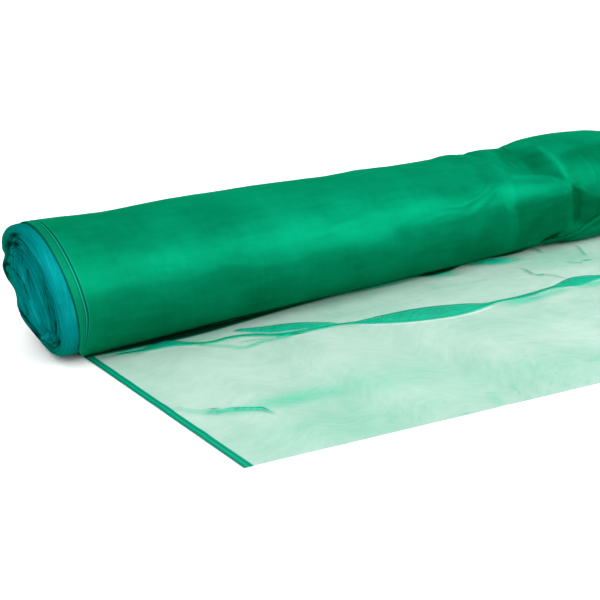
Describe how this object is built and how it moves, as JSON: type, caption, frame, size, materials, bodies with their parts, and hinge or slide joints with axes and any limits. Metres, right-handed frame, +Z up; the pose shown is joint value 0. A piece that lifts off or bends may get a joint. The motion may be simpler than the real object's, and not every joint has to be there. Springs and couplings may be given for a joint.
{
  "type": "roll of scaffold netting",
  "caption": "Roll of fine green scaffold netting lying on its side, wound without a core, its loose end drawn out flat in front with a long lying pleat.",
  "frame": {"origin": "on the floor, under the centre of the whole object's bounding box", "axes": "+X along the roll, from the end whose inner wraps stand out to the other end; +Z up; -Y from the roll towards the loose end's cut edge"},
  "size_m": [1.57, 0.805, 0.2135],
  "materials": {
    "netting": "fine knitted plastic net wound in many turns, satin green",
    "netting_sheer": "one sheer layer of the same knitted net with a denser selvedge"
  },
  "bodies": {
    "root": {"netting_roll": "netting", "loose_end": "netting_sheer"}
  },
  "joints": []
}
